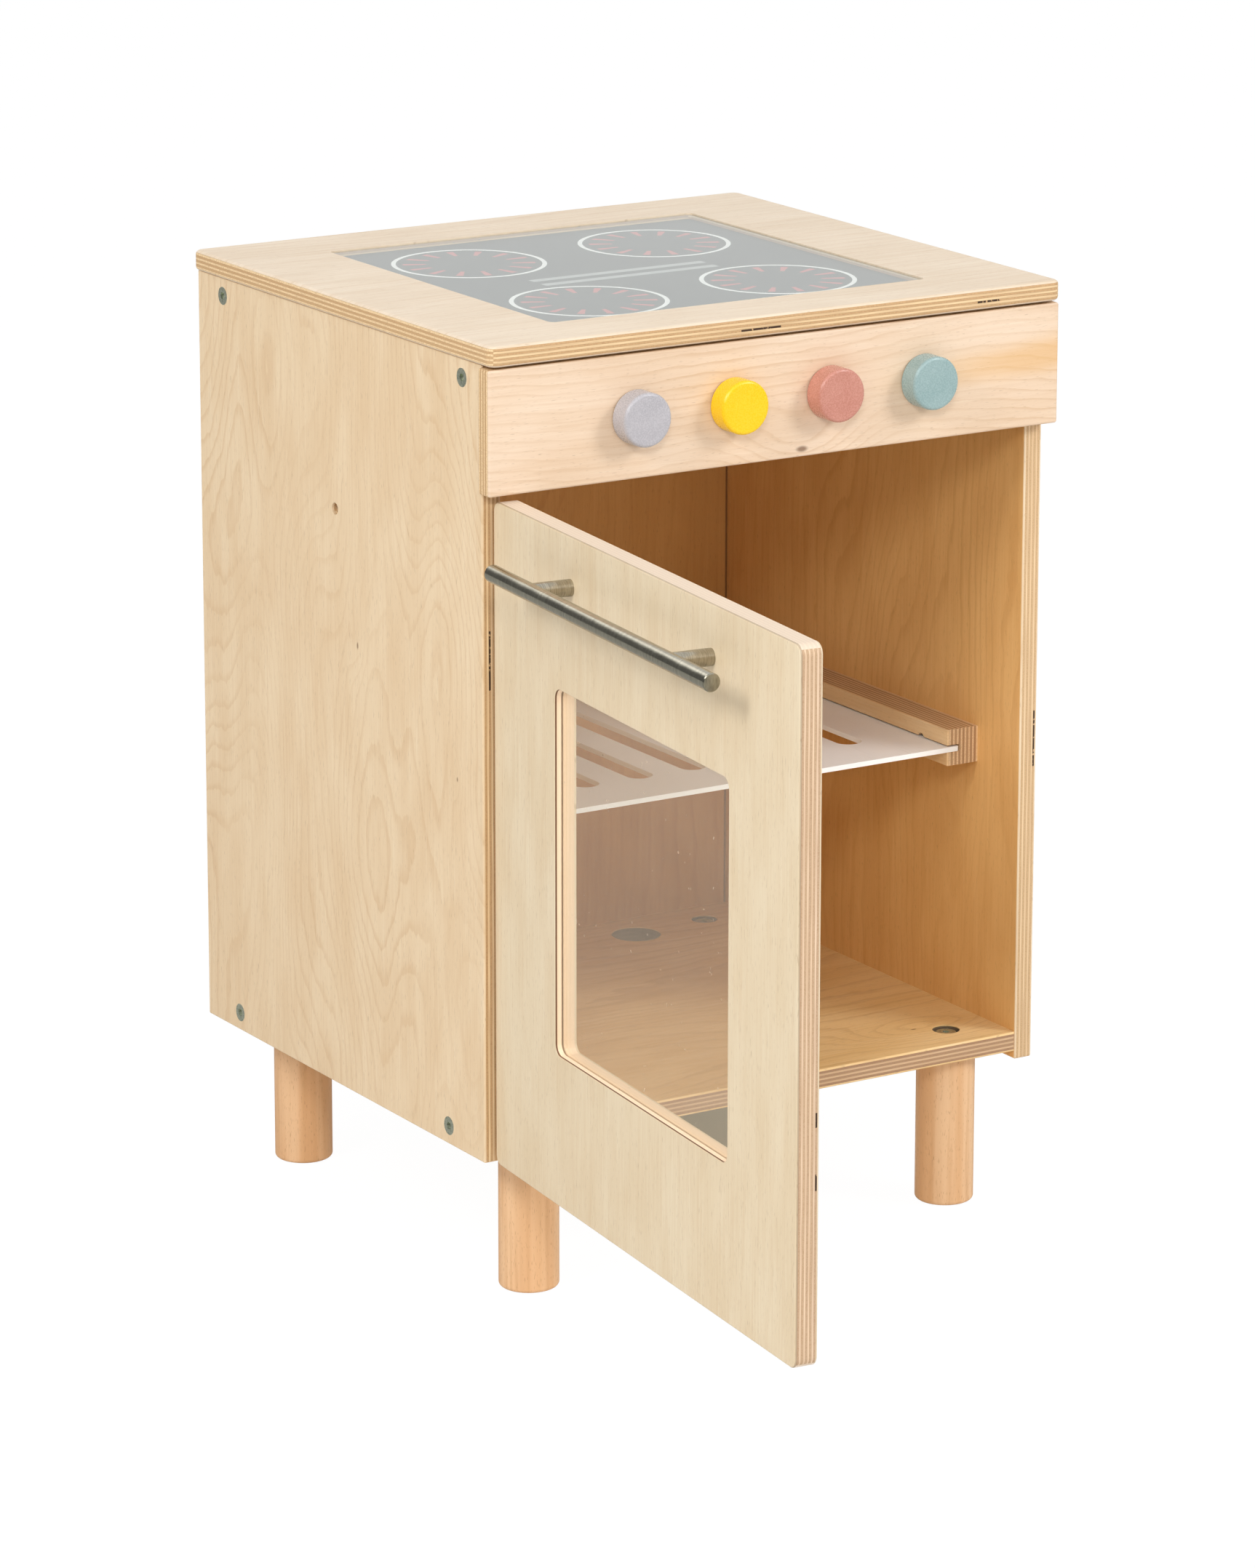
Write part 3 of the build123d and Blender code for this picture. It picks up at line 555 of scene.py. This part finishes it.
# %% Dress the fascia
def amber_streak(f, wood, along, across, face):
    """A soft band that drifts upwards and gets stronger towards the right end."""
    drift = f.noise(face, (7.0, 20.0, 1.0), 2.0, 2.0)
    off_band = abs(across - along * 0.05 + 0.002 + (drift - 0.5) * 0.02)
    band = f.fade(off_band, 0.015, 0.002) * f.fade(along, 0.05, 0.17)
    return f.mix(band * 0.62, wood, paint(224, 176, 112))


dress(
    "fascia",
    birch("fascia birch", middle("fascia"), turned(right, up), size("fascia").y, PLIES,
          57.0, paint(236, 212, 187), paint(229, 201, 172), 150.0, 12.0, 0.46,
          knots=((0.014, -0.031, 0.0024, 0.034, 5.0),), streak=amber_streak),
)
print("fascia dressed")

# %% [markdown]
# ## The door's plywood
# The door is a thin front layer and a thicker back layer that hold the pane between
# them, glued into one board of eleven veneers. Both layers share one material, so the
# veneers run on across the seam. The door stands open, so its frame is turned: the
# hinge's own range says by how much, and the same turn goes into the Mapping node.

# %% Dress the door
DOOR_THICKNESS, DOOR_PLIES = 0.013, 11
hinge = next(j for j in frame["joints"] if j["name"] == "door_hinge")
opened = math.radians(-hinge["range_deg"][0])
door = birch(
    "door birch", middle("door_front_layer", "door_back_layer"),
    turned(up, (math.cos(opened), -math.sin(opened), 0)), DOOR_THICKNESS, DOOR_PLIES, 71.0,
    paint(229, 211, 180), paint(223, 202, 168), 60.0, 5.0, 0.10,
    cut=(paint(232, 204, 174), paint(186, 153, 124)), seam_and_shadow_line=-0.0056,
    gaps=((-0.0623, -0.0542, 9, 1), (-0.0961, -0.0872, 9, 1)),
    # the last tone is painted light on the door's ends
    rim=(0.16, paint(252, 224, 190), paint(237, 220, 200)),
)
dress("door_front_layer", door)
dress("door_back_layer", door)
print("door opened by", round(math.degrees(opened), 1), "degrees")

# %% [markdown]
# ## Battens
# The rack's runners, and the two rails under the worktop, are strips sawn from thick
# plywood and stood on edge. Their veneers are upright and show as stripes on the top and
# on the front end. It is the same board material with its frame turned on its side.

# %% Dress the battens
BATTEN_THICKNESS, BATTEN_PLIES = 0.022, 16
for name, turn, seed in (
    ("left_runner", turned(back, up), 81.0),
    ("right_runner", turned(back, up), 83.0),
    ("front_top_rail", turned(right, up), 85.0),
    ("rear_top_rail", turned(right, up), 87.0),
):
    wood = birch(
        f"{name} birch".replace("_", " "), middle(name), turn,
        BATTEN_THICKNESS, BATTEN_PLIES, seed,
        paint(238, 206, 160), paint(228, 190, 140), 90.0, 8.0, 0.3,
        cut=(paint(232, 198, 156), paint(160, 114, 76)),
    )
    dress(name, wood)
print("battens dressed")

# %% [markdown]
# ## Beech legs
# The legs are turned from solid beech: warmer than birch, with straight upright grain
# and the short dark flecks that beech always has. A ring pattern round each leg's own
# axis would be one way, but a leg is sawn from a plank and seldom has the tree's heart
# in it. Noise drawn out along the grain is truer. Object coordinates run through all
# four, so each leg shows its own piece of the same timber.

# %% Beech
def beech():
    f = Finish("beech")
    place = f.object_place()
    straight = f.noise(place, (260.0, 260.0, 9.0), 3.0, 3.0, 0.6)
    bands = f.noise(place, (90.0, 90.0, 2.5), 7.0, 1.0)
    flecks = f.fade(f.noise(place, (2200.0, 2200.0, 300.0), 5.0, 0.0), 0.68, 0.78)
    wood = f.mix(f.fade(bands, 0.35, 0.65), paint(234, 192, 148), paint(224, 176, 128))
    wood = f.mix(f.fade(straight, 0.4, 0.75, 0.0, 0.5), wood, paint(206, 154, 104))
    wood = f.mix(flecks * 0.4, wood, paint(168, 116, 76))
    skin = f.surface(
        Base_Color=wood,
        Roughness=f.fade(straight, 0.3, 0.7, 0.42, 0.55),
        IOR=1.45,
        Normal=f.bump(straight - flecks * 0.5, 0.00008, 0.5),
    )
    return f.done(skin)


beech_wood = beech()
for name in ("leg_front_left", "leg_rear_left", "leg_front_right", "leg_rear_right",
             "fascia_dowels", "back_panel_dowels"):
    dress(name, beech_wood)
print("legs and dowels dressed")

# %% [markdown]
# ## The printed hob
# Under the clear sheet lies a dark print with four rings, each with short red dashes
# just inside it, and two pale bars between them. Thin solids could stand for the ink,
# but ink has no height, so it is colour alone. The four rings mirror one another, so
# the distance from the middle is folded with an absolute value and one ring's sums do
# for all four. The angle round a ring, taken times the number of dashes, gives every
# dash its own place.

# %% Rings and bars
RING_OUT, RING_BACK = 0.0640, 0.0678  # a ring's centre from the middle of the print
RING_RADIUS = 0.0444
DASHES = 14
DASH_FROM, DASH_TO = 0.0248, 0.0396
BARS = (0.0015, -0.0125)
BAR_LEFT, BAR_RIGHT = -0.063, 0.057


def ring_and_dashes(f, x, y):
    u, v = abs(x + 0.0008) - RING_OUT, abs(y) - RING_BACK
    radius = f.away(u, v)
    ring = f.fade(abs(radius - RING_RADIUS), 0.0016, 0.0012)
    turn = f.maths("ARCTAN2", v, u) / (2 * math.pi) * DASHES
    step = radius * (2 * math.pi / DASHES)
    sideways = abs(f.maths("FRACT", turn + 64.5) - 0.5) * step
    taper = f.fade(radius, 0.025, 0.039, 0.0012, 0.0021)
    dash = f.fade(sideways - taper, 0.0004, -0.0003)
    dash = dash * f.fade(radius, DASH_FROM, DASH_FROM + 0.0014)
    return ring, dash * f.fade(radius, DASH_TO, DASH_TO - 0.0012)


def two_bars(f, x, y):
    first, second = (f.fade(abs(y - bar), 0.0036, 0.0031) for bar in BARS)
    ends = f.fade(x, BAR_LEFT, BAR_LEFT + 0.002) * f.fade(x, BAR_RIGHT, BAR_RIGHT - 0.002)
    return (first + second) * ends


print("rings of", round(RING_RADIUS * 1000, 1), "mm radius, with", DASHES, "dashes each")


# %% Hob print
def hob_print():
    f = Finish("hob print")
    place = f.object_place(middle("hob_print"))
    x, y, _ = f.parts(place)
    ring, dash = ring_and_dashes(f, x, y)
    mottle = f.noise(place, (60.0, 60.0, 1.0), 2.0, 3.0)
    ink = f.mix(f.fade(mottle, 0.3, 0.7), paint(62, 70, 63), paint(70, 77, 70))
    ink = f.mix(two_bars(f, x, y) * 0.6, ink, paint(214, 218, 214))
    ink = f.mix(dash * 0.85, ink, paint(206, 104, 98))
    ink = f.mix(ring, ink, paint(252, 252, 248))
    return f.done(f.surface(Base_Color=ink, Roughness=0.5, IOR=1.45))


dress("hob_print", hob_print())
print("hob print dressed")

# %% [markdown]
# ## Clear sheet
# The hob's cover and the door's pane are clear acrylic. A true glass shader bends light
# and turns lamps away, which leaves what lies behind it too dark. A thin sheet bends
# nothing that the eye can see, so a Transparent shader and a Glossy one are mixed by
# Fresnel instead: clear from straight on, and a mirror of the pale room at a slant. A
# thin veil of matt haze with specks of dust stands for a sheet that has been wiped.

# %% Clear acrylic
def clear_sheet(name, tint, haze, veil_share, shine, dust_size):
    """shine is how much it mirrors from straight on, dust_size is specks to the metre."""
    f = Finish(name)
    place = f.object_place()
    smear = f.noise(place, (14.0, 14.0, 14.0), 6.0, 3.0)
    specks = f.fade(f.noise(place, (dust_size,) * 3, 9.0, 1.0), 0.76, 0.80)
    veiled = f.fade(smear, 0.3, 0.7, veil_share * 0.9, veil_share * 1.1) + specks * 0.3
    slant = f.node("ShaderNodeLayerWeight", sockets={"Blend": 0.5}).output("Facing")
    mirror = slant**5.0 * (1 - shine) + shine
    veil = f.surface(Base_Color=paint(*haze), Roughness=0.6, IOR=1.49)
    clear = f.node("ShaderNodeBsdfTransparent", sockets={"Color": paint(*tint)})
    gloss = f.node("ShaderNodeBsdfGlossy", sockets={"Color": WHITE, "Roughness": 0.06})
    body = f.node("ShaderNodeMixShader", sockets={0: veiled, 1: clear, 2: veil})
    return f.done(f.node("ShaderNodeMixShader", sockets={0: mirror, 1: body, 2: gloss}))


hob_cover = clear_sheet("hob cover", (250, 252, 251), (222, 226, 224), 0.045, 0.04, 420.0)
door_pane = clear_sheet("door pane", (254, 253, 250), (242, 216, 186), 0.090, 0.016, 300.0)
dress("hob_glass", hob_cover)
dress("door_pane", door_pane)
print("clear sheets dressed")

# %% [markdown]
# ## White sheet
# The rack is a flat white sheet with routed slots. Its faces are a little greyer than
# its freshly cut edges, and carry fine scratches from pans sliding over them. The height
# in the sheet tells face from edge, so no second material is needed for the slots' walls.

# %% White laminate
def white_sheet():
    f = Finish("white sheet")
    half = size("rack").z / 2
    place = f.object_place(middle("rack"))
    _, _, z = f.parts(place)
    face = f.fade(abs(z), half - 0.0004, half - 0.0002)
    scratch = f.noise(place, (900.0, 35.0, 1.0), 3.0, 2.0)
    cloud = f.noise(place, (18.0, 18.0, 1.0), 8.0, 2.0)
    sheet = f.mix(f.fade(cloud, 0.3, 0.7), paint(252, 250, 247), paint(248, 245, 241))
    sheet = f.mix(f.fade(scratch, 0.6, 0.8, 0.0, 0.25), sheet, paint(205, 200, 194))
    sheet = f.mix(face, paint(248, 246, 241), sheet)
    skin = f.surface(
        Base_Color=sheet,
        Roughness=f.fade(scratch, 0.3, 0.8, 0.42, 0.55),
        IOR=1.5,
        Normal=f.bump(scratch, 0.00003, 0.4),
    )
    return f.done(skin)


dress("rack", white_sheet())
print("rack dressed")

# %% [markdown]
# ## Painted knobs
# Each knob is a turned wooden button with a thick coat of satin paint. The paint
# follows the wood's pores, so its surface is faintly pebbled and the tone is lighter on
# the high spots. A flat colour with the same gloss would look like plastic, so one noise
# drives the pebbles, the lighter tone and the gloss together.

# %% Knob paint
def knob_paint(name, colour, light, seed):
    f = Finish(name)
    place = f.object_place()
    pebble = f.noise(place, (1100.0, 1100.0, 1100.0), seed, 2.0, 0.6)
    cloud = f.noise(place, (70.0, 70.0, 70.0), seed + 2.0, 2.0)
    coat = f.mix(f.fade(pebble, 0.45, 0.8, 0.0, 0.55), paint(*colour), paint(*light))
    coat = f.mix(f.fade(cloud, 0.3, 0.7, 0.0, 0.2), coat, paint(*light))
    skin = f.surface(
        Base_Color=coat,
        Roughness=f.fade(pebble, 0.3, 0.7, 0.22, 0.36),
        IOR=1.5,
        Normal=f.bump(pebble, 0.00016, 0.7),
    )
    return f.done(skin)


KNOB_PAINTS = (
    ("lilac paint", (178, 175, 180), (206, 203, 206)),
    ("yellow paint", (250, 200, 0), (255, 220, 50)),
    ("rose paint", (194, 130, 114), (222, 164, 148)),
    ("teal paint", (142, 168, 168), (176, 196, 195)),
)
for number, (name, colour, light) in enumerate(KNOB_PAINTS, start=1):
    dress(f"knob_{number}", knob_paint(name, colour, light, 10.0 * number))
print("knobs dressed", len(KNOB_PAINTS))

# %% [markdown]
# ## Metal
# The handle is brushed stainless steel: fine lines around the bar break its highlight
# into a soft stripe. Screws and hinge leaves are zinc-plated steel, duller and with a
# cooler, slightly green cast. One function serves all three metals. What tells them
# apart is the direction of the noise, which is dense across the brush marks and sparse
# along them, and as dense one way as the other on the plated parts.

# %% Brushed steel and zinc
def metal(name, light, dark, lines, rough):
    f = Finish(name)
    place = f.object_place()
    brush = f.noise(place, lines, 4.0, 2.0, 0.7)
    cloud = f.noise(place, (45.0, 45.0, 45.0), 9.0, 2.0)
    skin = f.surface(
        Base_Color=f.mix(f.fade(brush, 0.3, 0.75), paint(*light), paint(*dark)),
        Metallic=1.0,
        Roughness=f.fade(cloud, 0.3, 0.7, rough, rough + 0.10),
        Normal=f.bump(brush, 0.00002, 0.5),
    )
    return f.done(skin)


round_bar, round_post = (120.0, 2600.0, 120.0), (2600.0, 120.0, 120.0)
even = (900.0, 900.0, 900.0)
bar_steel = metal("brushed steel", (177, 173, 157), (140, 135, 120), round_bar, 0.15)
post_steel = metal("post steel", (186, 180, 164), (146, 140, 126), round_post, 0.20)
zinc = metal("zinc plate", (206, 210, 192), (164, 170, 154), even, 0.38)
dress("handle_bar", bar_steel)
dress("handle_posts", post_steel)
hardware = ("screws", "_bolt", "_bolts", "inserts", "leaves", "pins")
plated = [name for name in nodes if name.endswith(hardware)]
for name in plated:
    dress(name, zinc)
print("metal dressed,", len(plated), "plated nodes")

# %% [markdown]
# ## Nylon washers
# A nylon washer behind each knob lets it turn without scraping the fascia. Nylon is a
# soft, slightly grainy white, so a fine noise shades its tone and its surface a little.

# %% Nylon washers
def nylon():
    f = Finish("nylon")
    grain = f.noise(f.object_place(), (1200.0, 1200.0, 1200.0), 2.0, 2.0)
    white = f.mix(grain, paint(236, 235, 230), paint(222, 221, 215))
    return f.done(f.surface(Base_Color=white, Roughness=0.5, Normal=f.bump(grain, 0.00003)))


washer = nylon()
for number in range(1, len(KNOB_PAINTS) + 1):
    dress(f"knob_{number}_washer", washer)
print("washers dressed")

# %% [markdown]
# ## Floor
# The object stands on a plain white floor in a white room, and the floor has to come out
# at exactly white. More light would whiten it, but the object with it. So the lamps stay
# at a level where a colour comes out as it was mixed, and the Light Path node lets the
# floor glow only where a camera, a mirror or glass sees it, which lights nothing else. A
# small share of plain matt white keeps the object's shadow.
#
# A soft patch of shade lies under the oven, where the window looks down on the floor. It
# is counted only for rays that have come through a clear sheet, so a floor seen directly
# stays plain white. Mirrored in metal, the floor is a little darker than white.

# %% Floor material
MATT_SHARE = 0.06
GLOW = 1.03
SHADE_LONG, SHADE_SHORT = 0.088, 0.046
SHADE_TURN = (0, 0, math.radians(65.5))


def studio_floor(under):
    """White floor, with the middle of its patch of shade at under."""
    f = Finish("studio floor")
    path = f.node("ShaderNodeLightPath")
    gloss = path.output("Is Glossy Ray")
    seen = f.maths("MAXIMUM", gloss, path.output("Is Transmission Ray"))
    seen = f.maths("MAXIMUM", path.output("Is Camera Ray"), seen)
    cloud = f.noise(f.object_place(), (3.0, 3.0, 3.0), 1.0, 2.0)
    white = f.mix(cloud, paint(244, 244, 244), paint(240, 240, 240))
    matt = f.surface(Base_Color=white, Roughness=0.9)
    along, across, _ = f.parts(f.object_place(under, SHADE_TURN))
    patch = f.fade(f.away(along / SHADE_LONG, across / SHADE_SHORT), 1.28, 0.60)
    behind_clear = f.maths("MINIMUM", path.output("Transparent Depth"), 1.0)
    lit = f.mix(patch * behind_clear, WHITE, paint(110, 106, 88))
    lit = f.mix(gloss, lit, paint(182, 182, 178))
    glow = f.node("ShaderNodeEmission", sockets={"Color": lit, "Strength": GLOW})
    share = seen * (1 - MATT_SHARE)
    return f.done(f.node("ShaderNodeMixShader", sockets={0: share, 1: matt, 2: glow}))


print("patch of shade in mm", round(SHADE_LONG * 2000), "by", round(SHADE_SHORT * 2000))

# %% Floor
scene = bpy.context.scene
cabinet = Vector(middle("left_side_panel", "right_side_panel"))
mesh = bmesh.new()
bmesh.ops.create_grid(mesh, x_segments=8, y_segments=8, size=6.0)
sheet = bpy.data.meshes.new("studio_floor")
mesh.to_mesh(sheet)
mesh.free()
floor = bpy.data.objects.new("studio_floor", sheet)
scene.collection.objects.link(floor)
floor.data.materials.append(studio_floor((cabinet.x + 0.102, cabinet.y + 0.048, 0.0)))
floor.location.z = -0.0004
floor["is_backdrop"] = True
print("floor", round(floor.dimensions.x, 2), "m wide")

# %% [markdown]
# ## World
# The room is a white sky that also gives the soft light from all round. Polished metal
# needs something to mirror, and a plain white room would leave a bar without form. So
# for reflected rays alone there is a dark band low down, at the left and behind the
# camera, and a bright box above it, as a studio has black cards and a soft box.

# %% World
class Sky(Finish):
    """The same toolkit, writing the world instead of a material."""

    def __init__(self, name):
        world = bpy.data.worlds.new(name)
        scene.world = world
        world.use_nodes = True
        self.tree = world.node_tree
        self.tree.nodes.clear()


ROOM_LIGHT = 0.55
BAND_DEPTH, BOX_GLOW = 0.92, 2.4


def white_room():
    f = Sky("white room")
    path = f.node("ShaderNodeLightPath")
    camera_ray, through_glass = path.output("Is Camera Ray"), path.output("Is Transmission Ray")
    seen = f.maths("MAXIMUM", camera_ray, through_glass)
    x, y, z = f.parts(f.node("ShaderNodeTexCoord").output("Generated"))
    beside = f.maths("MAXIMUM", f.fade(x, 0.10, -0.30), f.fade(y, 0.10, -0.30))
    band = beside * f.fade(z, 0.58, 0.44, 0.0, 0.9)
    box = f.fade(x, 0.30, 0.0) * f.fade(z, 0.46, 0.56) * f.fade(z, 0.86, 0.74)
    level = 1 - band * BAND_DEPTH + box * BOX_GLOW
    light = f.mix(seen, (ROOM_LIGHT,) * 3 + (1.0,), WHITE)
    light = f.mix(path.output("Is Glossy Ray"), light, f.join(level, level, level))
    room = f.node("ShaderNodeBackground", sockets={"Color": light})
    f.node("ShaderNodeOutputWorld", sockets={"Surface": room})


white_room()
print("world made")

# %% [markdown]
# ## Lamps
# A single lamp would leave the oven's inside black, and light from all round alone would
# leave no form. Three soft lamps share the work. The one at the left puts the handle's
# shadow towards the door's free edge, the one in front at the right puts the knobs'
# shadows at their lower left, and the one in front at the left lights the door.

# %% Lamps
def lamp(name, place, aim, side, watts):
    """A square lamp, with its side in metres, that looks from its place to its aim."""
    light = bpy.data.lights.new(name, "AREA")
    light.size = side
    light.energy = watts
    made = bpy.data.objects.new(name, light)
    scene.collection.objects.link(made)
    made.location = place
    made.rotation_mode = "QUATERNION"
    made.rotation_quaternion = (Vector(aim) - Vector(place)).to_track_quat("-Z", "Y")


lamp("right front lamp", (1.9, -2.1, 2.1), (0.0, 0.0, 0.35), 1.0, 42.0)
lamp("left lamp", (-2.3, -0.6, 2.0), (0.0, -0.1, 0.3), 0.7, 27.0)
lamp("front left lamp", (-1.8, -2.8, 2.2), (0.0, 0.0, 0.25), 0.7, 34.0)

# %% [markdown]
# ## Camera
# The camera stands in front of the left corner, a little above the worktop, nearly
# three and a half metres away. Its place is given from the middle of the cabinet's
# front, on the floor. A long lens keeps the uprights almost parallel.

# %% Camera
FRAME_HEIGHT = 2156.0  # in pixels, and the lens below is in the same pixels
LENS_PIXELS = 8464.9
low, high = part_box("worktop")
front = Vector(((low.x + high.x) / 2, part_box("left_side_panel")[0].y, 0.0))
camera = bpy.data.objects.new("camera", bpy.data.cameras.new("camera"))
scene.collection.objects.link(camera)
camera.location = front + Vector((-1.8569, -2.8505, 1.21955))
camera.rotation_mode = "YXZ"
camera.rotation_euler = (1.33516, -0.00476, -0.54892)
camera.data.sensor_width = 36.0
camera.data.lens = LENS_PIXELS * camera.data.sensor_width / FRAME_HEIGHT
camera.data.shift_y = -0.13
scene.camera = camera
scene.view_settings.view_transform = "Standard"
print("lens in mm", round(camera.data.lens, 1))

# %% Sizes and finish
low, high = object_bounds()
print("visual size in mm", [round(v * 1000, 1) for v in high - low])
